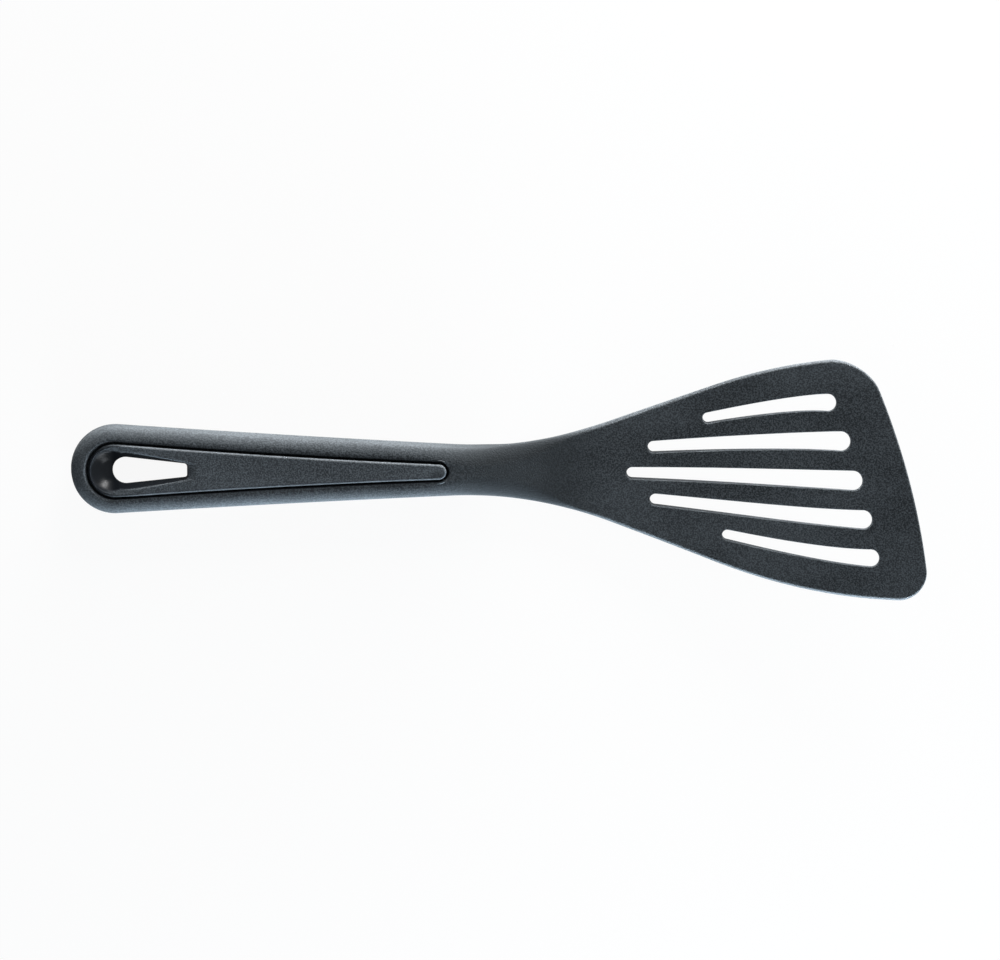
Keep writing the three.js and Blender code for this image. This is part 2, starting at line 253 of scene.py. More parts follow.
# the handle's taper, and the station where it leaves the round end
endTaper = (shape["endRadius"] - shape["neckHalf"]) / (shape["neckStation"] - shape["endRadius"])
taperStation = shape["endRadius"] * (1 + math.sin(math.atan(endTaper)))


def halfWidth(station, side):  # round end, taper, flare and level side
    flare, reach = side[1:3]
    end = shape["endRadius"]
    if station < taperStation:
        return math.sqrt(max(0, station * (2 * end - station)))
    start = end * math.hypot(1, endTaper) + endTaper * end
    turn = tangent(flare) + endTaper
    shoulder = (reach - start + turn * shape["flareStation"]) / tangent(flare)
    beyond = rounded(station - shape["flareStation"], shape["flareBlend"])
    flared = start - endTaper * station + turn * beyond
    flared -= drawnIn(station, taperStation, shape["neckStation"], shape["waist"])
    return flared - tangent(flare) * rounded(station - shoulder, shape["shoulderBlend"])


def frontEdge(offset):  # station of the slanted, slightly convex front
    slant = tangent(shape["frontSlant"]) * offset
    return shape["frontStation"] - slant - offset ** 2 / (2 * shape["frontRadius"])


def flatness(station):  # 0 in the oval handle, 1 in the blade
    return smoothStep(station, shape["flattenStart"], shape["flattenEnd"])


def thickness(station, offset):
    behind = min(1, max(0, (frontEdge(offset) - station) / shape["taperLength"]))
    return lerp(shape["frontThickness"], shape["rootThickness"], behind)


def topAt(station, offset):
    flat = smoothStep(station, shape["flattenStart"], shape["topEnd"])
    return lerp(shape["top"], thickness(station, offset) / 2, flat)


def underAt(station, offset):
    return lerp(-shape["axisHeight"], -thickness(station, offset) / 2, flatness(station))


def sideLine(side):  # half of the outline, from the hanging end to the middle of the front edge
    sign, cornerReach = side[0], side[3]
    corner = shape["frontStation"]
    for settle in range(shape["cornerRounds"]):
        corner = frontEdge(sign * halfWidth(corner, side))
    leave = corner - cornerReach
    land = sign * (halfWidth(corner, side) - shape["frontReach"])
    step = 0.01

    def onSide(station):
        return Vector((station, sign * halfWidth(station, side)))

    def onFront(offset):
        return Vector((frontEdge(offset), offset))

    def alongSide(first, last, steps):
        return [onSide(lerp(first, last, k / steps)) for k in range(steps)]

    start, end = onSide(leave), onFront(land)
    u = onSide(leave + step) - start
    w = onFront(land + sign * step) - end
    gap = end - start
    tip = start + u * ((gap.x * w.y - gap.y * w.x) / (u.x * w.y - u.y * w.x))
    pullA = start.lerp(tip, shape["cornerFullness"])
    pullB = end.lerp(tip, shape["cornerFullness"])
    line = []
    for k in range(shape["endSteps"]):
        turn = (k + 0.5) / shape["endSteps"] * (math.pi / 2 + math.atan(endTaper))
        line.append(onSide(shape["endRadius"] * (1 - math.cos(turn))))
    handleEnd = shape["flattenStart"] - shape["taperLead"]
    shared = frontEdge(shape["upperSide"][2]) - 2 * shape["upperSide"][3]
    line += alongSide(taperStation, handleEnd, shape["taperSteps"])
    line += alongSide(handleEnd, shared, shape["flareSteps"])
    line += alongSide(shared, leave, shape["sideSteps"])
    for k in range(shape["cornerSteps"] + 1):
        t = k / shape["cornerSteps"]
        a = start.lerp(pullA, t).lerp(pullA.lerp(pullB, t), t)
        b = pullA.lerp(pullB, t).lerp(pullB.lerp(end, t), t)
        line.append(a.lerp(b, t))
    line += [onFront(land * (1 - k / shape["frontSteps"])) for k in range(1, shape["frontSteps"])]
    return [tuple(p) for p in line]


def bodyRows(outline):  # loops from the flat underside, round the edge and on to the top
    flats = [flatness(x) for x, y in outline]
    thick = [thickness(x, y) for x, y in outline]
    tops = [topAt(x, y) for x, y in outline]
    widest = [lerp(-shape["widestDrop"], shape["edgeRound"] - t / 2, f) for t, f in zip(thick, flats)]
    sharp = []
    for x, y in outline:
        behind = smoothStep(frontEdge(y) - x, 0, shape["frontFade"])
        sharp.append(lerp(shape["frontShare"], 1, behind))
    drops = []
    for (x, y), t, f, s in zip(outline, thick, flats, sharp):
        rimDrop = lerp(shape["rimDrop"], shape["neckDrop"], smoothStep(x, *shape["neckDropSpan"]))
        drops.append(lerp(rimDrop, s * (shape["edgeDrop"] + t * shape["edgeDropShare"]), f))
    span = shape["tuckSpan"]
    for i, (x, y) in enumerate(outline):
        if y > 0:
            tuck = shape["tuck"] * smoothStep(x, *span[:2]) * (1 - smoothStep(x, *span[2:]))
            widest[i] = lerp(widest[i], tops[i] - drops[i], tuck)
    draft = tangent(shape["sideDraft"])
    leans = [(t - d - w) * draft * (1 - f) for t, d, w, f in zip(tops, drops, widest, flats)]
    span = shape["neckRimSpan"]
    rims = []
    for (x, y), s in zip(outline, sharp):
        neck = lerp(shape["rim"], shape["neckRim"], smoothStep(x, *span[:2]))
        rims.append(lerp(neck, s * shape["edge"], smoothStep(x, *span[2:])))
    chamfers = [shape["edgeChamfer"] * smoothStep(x, *shape["edgeSpan"]) for x, y in outline]
    bellies = [lerp(shape["belly"], shape["edgeRound"], f) for f in flats]
    line = moved(outline, [-b - shape["support"] for b in bellies])
    rows = [raised(line, [underAt(x, y) for x, y in line])]
    for a in quarterTurn(shape["lowerSteps"]):
        line = moved(outline, [-b * (1 - math.sin(a)) for b in bellies])
        rows.append(raised(line, [lerp(w, underAt(x, y), math.cos(a)) for (x, y), w in zip(line, widest)]))
    steps = shape["flankSteps"]
    for k in range(1, steps):
        line = moved(outline, [-l * k / steps for l in leans])
        rows.append(raised(line, [lerp(w, t - d, k / steps) for w, t, d in zip(widest, tops, drops)]))
    for k in range(shape["rimSteps"] + 1):
        a = (1 - k / shape["rimSteps"]) * math.pi / 2
        line = moved(outline, [-lerp(r, l, math.sin(a)) for r, l in zip(rims, leans)])
        shares = [lerp(1 - math.cos(a), math.sin(a), c) for c in chamfers]
        rows.append(raised(line, [topAt(x, y) - d * s for (x, y), d, s in zip(line, drops, shares)]))
    strips = [lerp(shape["rimSupport"], shape["support"], f) for f in flats]
    line = moved(outline, [-r - s for r, s in zip(rims, strips)])
    rows.append(raised(line, [topAt(x, y) for x, y in line]))
    return rows


def slotLine(slot):  # round ended, along a curved middle line
    root, rootOffset, turn, lane, rootWidth, frontWidth = slot
    a, b = Vector((root, rootOffset)), Vector((turn, lane))
    margin = shape["slotMargin"] + shape["slotMarginLean"] * lane
    c = Vector((frontEdge(lane) - margin - frontWidth / 2, lane))

    def middle(t):
        return a.lerp(b, t).lerp(b.lerp(c, t), t)

    def heading(t):
        return (b - a).lerp(c - b, t).normalized()

    def roundEnd(centre, ahead, width, sign, first, last):  # a quarter circle
        points = []
        for k in range(shape["slotEndSteps"]):
            swing = sign * lerp(first, last, (k + 0.5) / shape["slotEndSteps"])
            angle = math.atan2(ahead.y, ahead.x) + swing
            points.append(centre + Vector((math.cos(angle), math.sin(angle))) * width / 2)
        return points

    half = []
    for sign in (-1, 1):
        line = roundEnd(a, heading(0), rootWidth, sign, math.pi, math.pi / 2)
        for k in range(shape["slotSideSteps"] + 1):
            t = k / shape["slotSideSteps"]
            across = Vector((-heading(t).y, heading(t).x)) * sign
            line.append(middle(t) + across * lerp(rootWidth, frontWidth, t) / 2)
        line += roundEnd(c, heading(1), frontWidth, sign, math.pi / 2, 0)
        half.append([tuple(p) for p in line])
    return half[0] + half[1][::-1]


def slotRows(slot):  # loops from the top skin, over the lip, down the wall and on to the lower skin
    outline = slotLine(slot)
    lip, draft = shape["slotLip"], tangent(shape["slotDraft"])
    angles = quarterTurn(shape["lipSteps"])

    # the walls stand upright over the table, not square to the bent blade
    def row(heightAt, inward, outward):
        heights = [heightAt(x, y) for x, y in outline]
        line = moved(outline, [h * draft + outward for h in heights])
        placed = [(x + (h + inward) * math.tan(turned(x)), y) for (x, y), h in zip(line, heights)]
        return [(x, y, heightAt(x, y) + inward) for x, y in placed]

    rows = [row(topAt, 0, lip + shape["support"])]
    rows += [row(topAt, -lip * (1 - math.cos(a)), lip * (1 - math.sin(a))) for a in angles]
    rows += [row(underAt, lip * (1 - math.cos(a)), lip * (1 - math.sin(a))) for a in angles[::-1]]
    rows.append(row(underAt, 0, lip + shape["support"]))
    return rows


def recessRows():  # loops from the top skin, over the lip and down to the floor
    outline = waisted(teardrop(shape["recessWide"], shape["recessTip"], *shape["recessSteps"]))
    top, soft = shape["top"], shape["recessLip"]
    floor = top - shape["recessDepth"]
    rows = []
    for a in quarterTurn(shape["recessLipSteps"]):
        rows.append(level(outline, soft * (1 - math.sin(a)), top - soft * (1 - math.cos(a))))
    return rows + [level(outline, -inward, floor + above) for inward, above in shape["recessFoot"]]


def eyeRows():  # loops from the floor of the recess to the underside
    outline = teardrop(shape["eyeWide"], shape["eyeTip"], *shape["eyeSteps"])
    relief, soft = shape["eyeRelief"], shape["eyeLip"]
    floor, under = shape["top"] - shape["recessDepth"], -shape["axisHeight"]
    wide = relief + (floor - under) * tangent(shape["eyeDraft"])
    rows = [level(outline, relief + outward, floor - below) for outward, below in shape["eyeMouth"]]
    for a in quarterTurn(shape["recessLipSteps"])[::-1]:
        rows.append(level(outline, wide + soft * (1 - math.sin(a)), under + soft * (1 - math.cos(a))))
    rows.append(level(outline, wide + soft + shape["support"], under))
    return rows


def layOnBlade(bm, faces, heightAt):  # cuts a skin across and puts it at its height
    spacing, reach = shape["cutSpacing"], shape["cutReach"]
    first = shape["flattenStart"] - shape["cutLead"]
    stations = [(first + spacing * k, 0, 0) for k in range(shape["cutCount"])]
    offsets = [(0, spacing * k + shape["cutShift"], 0) for k in range(-reach, reach)]
    faces = crossCuts(bm, faces, stations, (1, 0, 0), shape["cutSnap"])
    blade = [f for f in faces if min(v.co.x for v in f.verts) > first - hair]
    blade = crossCuts(bm, blade, offsets, (0, 1, 0), shape["cutSnap"])
    skin = set(blade)
    for vert in {v for f in blade for v in f.verts}:
        if skin.issuperset(vert.link_faces):  # those on a loop are at their height already
            vert.co.z = heightAt(vert.co.x, vert.co.y)


def makeBody():
    bm = bmesh.new()
    lip = bm.verts.layers.float.new("lip")  # 1 on the rounded lips, for rubbing and painted highlight along the edges
    wall = bm.verts.layers.float.new("wall")  # 1 on the smooth drafted walls of the blade, which are also painted lighter as if lit
    satin = bm.verts.layers.float.new("satin")  # 1 on the calmer flank and rim of the handle
    outline = sideLine(shape["lowerSide"]) + sideLine(shape["upperSide"])[::-1]
    outer = sleeve(bm, bodyRows(outline))
    for ring in outer[2:-3]:  # without the strips beside the flat underside and top
        for vert, (x, y) in zip(ring, outline):
            vert[satin] = 1 - smoothStep(x, *shape["satinSpan"])
    for ring in outer[shape["lowerSteps"] + 1:-4]:  # from the widest loop up
        for vert, (x, y) in zip(ring, outline):
            behind = smoothStep(frontEdge(y) - x, 0, shape["frontFade"])
            # this share also paints the blade's edge wall lighter, as light falling on it
            vert[wall] = shape["wallShare"] * smoothStep(x, *shape["wallSpan"]) * behind
    slotRings = [sleeve(bm, slotRows(slot)) for slot in shape["slots"]]
    steps = shape["lipSteps"]
    for rings in slotRings:
        # rubbing and painted highlight on the slots' lips
        for vert in [v for ring in rings[2:steps + 1] for v in ring]:
            vert[lip] = 1
        # the slots' walls are painted lighter, as light falling on them
        for vert in [v for ring in rings[steps:-steps] for v in ring]:
            vert[wall] = 1
    recessRings = sleeve(bm, recessRows())
    eyeRings = sleeve(bm, eyeRows())
    fillBetween(bm, [recessRings[-1], eyeRings[0]])
    upper = fillBetween(bm, [outer[-1], recessRings[0]] + [rings[0] for rings in slotRings])
    lower = fillBetween(bm, [outer[0], eyeRings[-1]] + [rings[-1] for rings in slotRings])
    layOnBlade(bm, upper, topAt)
    layOnBlade(bm, lower, underAt)
    for vert in bm.verts:
        vert.co = bend(vert.co)
    bmesh.ops.recalc_face_normals(bm, faces=bm.faces[:])
    low = Vector(min(v.co[i] for v in bm.verts) for i in range(3))
    high = Vector(max(v.co[i] for v in bm.verts) for i in range(3))
    print("body corners in mm:", [round(c, 3) for c in low], [round(c, 3) for c in high])
    # the blade's front, its upper side and the table fix the body's place
    seat = Vector((bodyHigh.x - high.x * mm, bodyHigh.y - high.y * mm, bodyLow.z))
    bmesh.ops.transform(bm, matrix=Matrix.Translation(seat) @ Matrix.Scale(mm, 4), verts=bm.verts[:])
    for vert in bm.verts:  # the finer outline would pass the part's box by a hair
        vert.co = [min(max(c, least), most) for c, least, most in zip(vert.co, bodyLow, bodyHigh)]
    return bm, seat


def finishPiece(bm, name, material, node):
    for face in bm.faces:
        face.smooth = True
    mesh = bpy.data.meshes.new(name)
    bm.to_mesh(mesh)
    bm.free()
    mesh.materials.append(material)
    piece = bpy.data.objects.new(name, mesh)
    bpy.context.scene.collection.objects.link(piece)
    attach(piece, "root")
    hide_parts(node)
    print(name, "has", sum(len(p.vertices) - 2 for p in mesh.polygons), "triangles")


# handle inlay, pressed into the recess: reaches are distances from the middle of the dish
inlayShape = {
    "groove": 0.9, "seat": 0.3, "backRound": 0.25, "edgeRound": 0.7, "edgeSupport": 0.12,
    "proud": 0.42, "proudReach": (8, 12),  # height over the handle, and where it is gained
    "throatDepth": 2.6, "throatShare": 0.8, "throatDrop": 0.15,
    "wideChamfer": 2.2, "tipChamfer": 0.7, "mouthReach": 1.15,
    "dishStation": 15, "dishFloor": 2.8, "dishRim": 8.2, "dishDepth": 2.9, "crease": 0.5,
    # the polish fades over this reach and between these stations
    "polishReach": (7.4, 8.4), "polishSpan": (12.5, 17),
    # the chamfer of the eye gets painted shade over this depth, a little less so past these stations
    "shadeDepth": (0.05, 0.5), "shadeSpan": (16, 26), "shadeShare": 0.8,
    # the edge gets rubbing and painted highlight from this reach on, painted shade nearer to the dish, and
    # painted shade with less highlight on its lower side
    "rubAndHighlightReach": (8, 11), "darkReach": (8.3, 9.6), "lowerPaintedShade": 0.55, "lowerSpan": (-1, 1),
    "edgeSteps": 8, "faceSteps": 30, "chamferSteps": 12, "outlineSteps": (64, 40),
}


def bowlReach(x, y):
    return math.hypot(x - inlayShape["dishStation"], y)


def inlayTop(x, y):
    return shape["top"] + inlayShape["proud"] * smoothStep(bowlReach(x, y), *inlayShape["proudReach"])


def makeInlay(seat):  # loops run from its back, round the edge, over the face and down into the eye
    bm = bmesh.new()
    polish = bm.verts.layers.float.new("polish")  # 1 in the smooth dish
    shade = bm.verts.layers.float.new("shade")  # painted shade: how dark the dish, the chamfer and the edge are painted
    lip = bm.verts.layers.float.new("lip")
    own = inlayShape
    back = shape["top"] - shape["recessDepth"] + own["seat"]
    throat = shape["top"] + own["proud"] - own["throatDepth"]

    def outlineOf(wide, tip, wideGrowth, tipGrowth):
        return teardrop(grown(shape[wide], wideGrowth), grown(shape[tip], tipGrowth), *own["outlineSteps"])

    def edgeLine(by):
        inset = -own["groove"] - by
        return waisted(outlineOf("recessWide", "recessTip", inset, inset))

    def faceHeight(x, y, chamfer):  # a soft bowl, the chamfer of the eye or the flat top
        top = inlayTop(x, y)
        dish = top - own["dishDepth"] * (1 - smoothStep(bowlReach(x, y), own["dishFloor"], own["dishRim"]))
        return min(top, softMin(dish, throat + own["throatDepth"] * chamfer, own["crease"]))

    eye = [Vector(p) for p in outlineOf("eyeWide", "eyeTip", 0, 0)]
    mouth = [Vector(p) for p in outlineOf("eyeWide", "eyeTip", own["wideChamfer"], own["tipChamfer"])]
    soft = own["backRound"]
    rows = [[(x, y, back) for x, y in eye], [(x, y, back) for x, y in edgeLine(soft)]]
    rows.append([(x, y, back + soft) for x, y in edgeLine(0)])
    backRows = len(rows)
    for k in range(own["edgeSteps"] + 1):
        a = (1 - k / own["edgeSteps"]) * math.pi / 2
        below = own["edgeRound"] * (1 - math.cos(a))
        line = edgeLine(own["edgeRound"] * (1 - math.sin(a)))
        rows.append([(x, y, inlayTop(x, y) - below) for x, y in line])
    edgeRows = len(rows)
    inner = [Vector(p) for p in edgeLine(own["edgeRound"] + own["edgeSupport"])]
    beside = [e.lerp(m, own["mouthReach"]) for e, m in zip(eye, mouth)]
    width = [(m - e).length for e, m in zip(eye, mouth)]
    for k in range(own["faceSteps"] + 1):
        row = []
        for start, end, span in zip(inner, beside, width):
            p = start.lerp(end, k / own["faceSteps"])
            chamfer = own["mouthReach"] + (p - end).length / span
            row.append((p.x, p.y, faceHeight(p.x, p.y, chamfer)))
        rows.append(row)
    for k in range(1, own["chamferSteps"] + 1):
        f = own["mouthReach"] * (1 - k / own["chamferSteps"])
        row = []
        for e, m in zip(eye, mouth):
            p = e.lerp(m, f)
            row.append((p.x, p.y, faceHeight(p.x, p.y, f)))
        rows.append(row)
    foot = lerp(back, throat, own["throatShare"])
    rows.append([(x, y, min(z - own["throatDrop"], foot)) for x, y, z in rows[-1]])
    rows.append(rows[0])
    rings = sleeve(bm, rows)
    for vert in [v for ring in rings[edgeRows:-1] for v in ring]:
        x, y, z = vert.co
        glossy = 1 - smoothStep(bowlReach(x, y), *own["polishReach"])
        vert[polish] = glossy * (1 - smoothStep(x, *own["polishSpan"]))
        # painted shade: darker the deeper the face lies below its top, and darkest in the polished dish
        sunk = smoothStep(inlayTop(x, y) - z, *own["shadeDepth"])
        share = lerp(1, own["shadeShare"], smoothStep(x, *own["shadeSpan"]))
        vert[shade] = max(vert[polish], share * sunk)
    for vert in [v for ring in rings[backRows:edgeRows + 2] for v in ring]:  # edge and a strip of the face: rubbing and painted highlight, with painted shade near the dish and on the lower side
        x, y, z = vert.co
        dim = own["lowerPaintedShade"] * (1 - smoothStep(y, *own["lowerSpan"]))
        vert[lip] = smoothStep(bowlReach(x, y), *own["rubAndHighlightReach"]) * (1 - dim)
        vert[shade] = max(vert[shade], dim, 1 - smoothStep(bowlReach(x, y), *own["darkReach"]))
    bmesh.ops.remove_doubles(bm, verts=rings[0] + rings[-1], dist=hair)
    for vert in bm.verts:
        vert.co = bend(vert.co)
    bmesh.ops.recalc_face_normals(bm, faces=bm.faces[:])
    bmesh.ops.transform(bm, matrix=Matrix.Translation(seat) @ Matrix.Scale(mm, 4), verts=bm.verts[:])
    return bm


# shader groups that both nylons use: a noise is given as scale, detail and roughness
groupLook = {
    "cellScale": 2150, "cellSmoothness": 0.6, "cellShare": 0.3,
    "grainNoise": (1950, 1, 0.5), "pits": (0.5, 0.82),
    "patchNoise": (140, 4, 0.6), "patches": (0.4, 0.7), "leastRub": 0.25,
    "flowStretch": (18, 60, 60), "flowNoise": (1, 3, 0.5), "flow": (0.3, 0.7),
}


def newGroup(name, inputs, outputs):
    group = bpy.data.node_groups.new(name, "ShaderNodeTree")
    for title, kind, value in inputs:
        socket = group.interface.new_socket(title, in_out="INPUT", socket_type=kind)
        if value is not None:
            socket.default_value = value
    for title, kind in outputs:
        group.interface.new_socket(title, in_out="OUTPUT", socket_type=kind)
    return group, group.nodes.new("NodeGroupInput"), group.nodes.new("NodeGroupOutput")


def mathNode(tree, operation, a, b):
    node = tree.nodes.new("ShaderNodeMath")
    node.operation = operation
    for socket, value in zip(node.inputs, (a, b)):
        if isinstance(value, (int, float)):
            socket.default_value = value
        else:
            tree.links.new(value, socket)
    return node.outputs[0]


def noiseNode(tree, vector, scale, detail, roughness):
    node = tree.nodes.new("ShaderNodeTexNoise")
    node.inputs["Scale"].default_value = scale
    node.inputs["Detail"].default_value = detail
    node.inputs["Roughness"].default_value = roughness
    tree.links.new(vector, node.inputs["Vector"])
    return node.outputs["Fac"]


def rangeNode(tree, value, fromLow, fromHigh, toLow, toHigh):
    node = tree.nodes.new("ShaderNodeMapRange")
    node.interpolation_type = "SMOOTHSTEP"
    limits = {"From Min": fromLow, "From Max": fromHigh, "To Min": toLow, "To Max": toHigh}
    for title, number in limits.items():
        node.inputs[title].default_value = number
    tree.links.new(value, node.inputs["Value"])
    return node.outputs["Result"]


def mixColour(tree, factor, a, b):
    node = tree.nodes.new("ShaderNodeMix")
    node.data_type = "RGBA"
    tree.links.new(factor, node.inputs[0])
    for socket, value in ((node.inputs[6], a), (node.inputs[7], b)):  # its colour sockets
        if isinstance(value, tuple):
            socket.default_value = (*value, 1)
        else:
            tree.links.new(value, socket)
    return node.outputs[2]


def sparkGrain():  # the fine pitted skin of a spark-eroded mould
    look = groupLook
    group, inside, outside = newGroup(
        "spark grain",
        [("Vector", "NodeSocketVector", None), ("Strength", "NodeSocketFloat", 1.0)],
        [("Height", "NodeSocketFloat"), ("Pits", "NodeSocketFloat")])
    vector = inside.outputs["Vector"]
    cells = group.nodes.new("ShaderNodeTexVoronoi")
    cells.feature = "SMOOTH_F1"
    cells.inputs["Scale"].default_value = look["cellScale"]
    cells.inputs["Smoothness"].default_value = look["cellSmoothness"]
    group.links.new(vector, cells.inputs["Vector"])
    coarse = noiseNode(group, vector, *look["grainNoise"])
    fine = mathNode(group, "MULTIPLY", cells.outputs["Distance"], look["cellShare"])
    both = mathNode(group, "ADD", fine, coarse)
    height = mathNode(group, "MULTIPLY", both, inside.outputs["Strength"])
    group.links.new(height, outside.inputs["Height"])
    group.links.new(rangeNode(group, both, *look["pits"], 0, 1), outside.inputs["Pits"])
    return group


def rubAndHighlightEdge():  # patchy rubbing and painted highlight along the lips
    look = groupLook
    group, inside, outside = newGroup(
        "rubbed edge",
        [("Vector", "NodeSocketVector", None), ("Lip", "NodeSocketFloat", 0.0),
         ("Amount", "NodeSocketFloat", 0.5)],
        [("Mask", "NodeSocketFloat")])
    noise = noiseNode(group, inside.outputs["Vector"], *look["patchNoise"])
    patch = rangeNode(group, noise, *look["patches"], look["leastRub"], 1)
    rubAndHighlight = mathNode(group, "MULTIPLY", patch, inside.outputs["Lip"])
    group.links.new(mathNode(group, "MULTIPLY", rubAndHighlight, inside.outputs["Amount"]), outside.inputs["Mask"])
    return group


def flowClouds():  # slow change of tone where the melt ran
    look = groupLook
    group, inside, outside = newGroup(
        "flow clouds", [("Vector", "NodeSocketVector", None)], [("Tone", "NodeSocketFloat")])
    stretch = group.nodes.new("ShaderNodeMapping")
    stretch.inputs["Scale"].default_value = look["flowStretch"]
    group.links.new(inside.outputs["Vector"], stretch.inputs["Vector"])
    noise = noiseNode(group, stretch.outputs["Vector"], *look["flowNoise"])
    group.links.new(rangeNode(group, noise, *look["flow"], 0, 1), outside.inputs["Tone"])
    return group


groups = {"grain": sparkGrain(), "rubAndHighlight": rubAndHighlightEdge(), "clouds": flowClouds()}


def placeGroup(tree, name, **values):
    node = tree.nodes.new("ShaderNodeGroup")
    node.node_tree = groups[name]
    for title, value in values.items():
        if isinstance(value, (int, float)):
            node.inputs[title].default_value = value
        else:
            tree.links.new(value, node.inputs[title])
    return node


def attribute(tree, name):
    node = tree.nodes.new("ShaderNodeAttribute")
    node.attribute_name = name
    return node.outputs["Fac"]


# the two nylons: spans are in metres along the part
nylonLook = {"refraction": 1.53, "shine": 0.1, "pitTone": 0.7, "cloudTone": 0.3}
bodyLook = {
    # the third colour is for rubbing and painted highlight on the lips, and for painted light on the
    # drafted walls
    "dark": (0.0165, 0.0195, 0.022), "light": (0.0755, 0.0865, 0.0963), "paintedLightAndRub": (0.15, 0.165, 0.18),
    "rim": (0.043, 0.0495, 0.0553), "rimCalm": 0.3, "rubAndHighlight": 0.8, "wallPaintedLight": 0.45,
    "bladeSpan": (-0.01, 0.06), "bladeRoughness": 0.76, "handleRoughness": 0.74,
    "wallRoughness": 0.6, "pitRoughness": 0.08, "grain": 0.00008,
    # painted shade on the neck, between these spans
    "neckStart": (-0.03, 0.002), "neckEnd": (0.018, 0.042), "neckPaintedShade": 0.8,
}
inlayLook = {
    # the third colour is for rubbing and painted highlight on the edge
    "dark": (0.022, 0.0255, 0.029), "light": (0.084, 0.096, 0.107), "paintedLightAndRub": (0.12, 0.132, 0.145),
    # the first colour here is the painted shade of the dish, the eye's chamfer and the edge
    "smooth": (0.006, 0.008, 0.011), "smoothRoughness": 0.28, "smoothShine": 0.3, "smoothCalm": 0.8,
    "rubAndHighlight": 0.3, "roughness": 0.74, "pitRoughness": 0.06, "grain": 0.00008,
}


def startMaterial(name):
    material = bpy.data.materials.new(name)
    material.use_nodes = True
    tree = material.node_tree
    shader = tree.nodes["Principled BSDF"]
    shader.inputs["IOR"].default_value = nylonLook["refraction"]
    shader.inputs["Specular IOR Level"].default_value = nylonLook["shine"]
    vector = tree.nodes.new("ShaderNodeTexCoord").outputs["Object"]
    return material, tree, shader, vector


def plainColour(tree, vector, grain, look):
    clouds = placeGroup(tree, "clouds", Vector=vector)
    pits = mathNode(tree, "MULTIPLY", grain.outputs["Pits"], nylonLook["pitTone"])
    flow = mathNode(tree, "MULTIPLY", clouds.outputs["Tone"], nylonLook["cloudTone"])
    return mixColour(tree, mathNode(tree, "ADD", pits, flow), look["dark"], look["light"])


def bumpFrom(tree, shader, height, distance):
    bump = tree.nodes.new("ShaderNodeBump")
    bump.inputs["Strength"].default_value = 1
    bump.inputs["Distance"].default_value = distance
    tree.links.new(height, bump.inputs["Height"])
    tree.links.new(bump.outputs["Normal"], shader.inputs["Normal"])


def bodyNylon():
    material, tree, shader, vector = startMaterial("body nylon")
    look = bodyLook
    split = tree.nodes.new("ShaderNodeSeparateXYZ")
    tree.links.new(vector, split.inputs[0])
    along = split.outputs["X"]
    grain = placeGroup(tree, "grain", Vector=vector, Strength=1.0)
    # rubbing and painted highlight along the slots' lips
    rubAndHighlight = placeGroup(tree, "rubAndHighlight", Vector=vector, Lip=attribute(tree, "lip"), Amount=look["rubAndHighlight"])
    plain = plainColour(tree, vector, grain, look)
    calm = mathNode(tree, "MULTIPLY", attribute(tree, "satin"), look["rimCalm"])
    plain = mixColour(tree, calm, plain, look["rim"])
    # painted shade: the neck is darkened towards the dark colour
    neck = mathNode(
        tree, "MULTIPLY", rangeNode(tree, along, *look["neckStart"], 0, look["neckPaintedShade"]),
        rangeNode(tree, along, *look["neckEnd"], 1, 0))
    plain = mixColour(tree, neck, plain, look["dark"])
    wall = attribute(tree, "wall")
    # painted light on the drafted walls, joined to the rubbing and painted highlight of the lips
    wearAndPaintedLight = mathNode(
        tree, "MAXIMUM", rubAndHighlight.outputs["Mask"], mathNode(tree, "MULTIPLY", wall, look["wallPaintedLight"]))
    tree.links.new(mixColour(tree, wearAndPaintedLight, plain, look["paintedLightAndRub"]), shader.inputs["Base Color"])
    blade = rangeNode(tree, along, *look["bladeSpan"], 0, 1)
    satin = rangeNode(tree, blade, 0, 1, look["handleRoughness"], look["bladeRoughness"])
    drawn = rangeNode(tree, wall, 0, 1, 0, look["bladeRoughness"] - look["wallRoughness"])
    pitted = mathNode(tree, "MULTIPLY", grain.outputs["Pits"], look["pitRoughness"])
    spread = mathNode(tree, "SUBTRACT", pitted, drawn)
    tree.links.new(mathNode(tree, "ADD", satin, spread), shader.inputs["Roughness"])
    bumpFrom(tree, shader, grain.outputs["Height"], look["grain"])
    return material


def inlayNylon():
    material, tree, shader, vector = startMaterial("inlay nylon")
    look = inlayLook
    polish = attribute(tree, "polish")
    matt = mathNode(tree, "SUBTRACT", 1.0, mathNode(tree, "MULTIPLY", polish, look["smoothCalm"]))
    grain = placeGroup(tree, "grain", Vector=vector, Strength=matt)
    # rubbing and painted highlight along the inlay's edge
    rubAndHighlight = placeGroup(tree, "rubAndHighlight", Vector=vector, Lip=attribute(tree, "lip"), Amount=look["rubAndHighlight"])
    plain = plainColour(tree, vector, grain, look)
    # painted shade in the dish, the eye's chamfer and along the edge
    withPaintedShade = mixColour(tree, attribute(tree, "shade"), plain, look["smooth"])
    wearAndPaintedLight = mixColour(tree, rubAndHighlight.outputs["Mask"], withPaintedShade, look["paintedLightAndRub"])
    tree.links.new(wearAndPaintedLight, shader.inputs["Base Color"])
    shine = rangeNode(tree, polish, 0, 1, nylonLook["shine"], look["smoothShine"])
    tree.links.new(shine, shader.inputs["Specular IOR Level"])
    satin = rangeNode(tree, polish, 0, 1, look["roughness"], look["smoothRoughness"])
    pitted = mathNode(tree, "MULTIPLY", grain.outputs["Pits"], look["pitRoughness"])
    tree.links.new(mathNode(tree, "ADD", satin, pitted), shader.inputs["Roughness"])
    bumpFrom(tree, shader, grain.outputs["Height"], look["grain"])
    return material


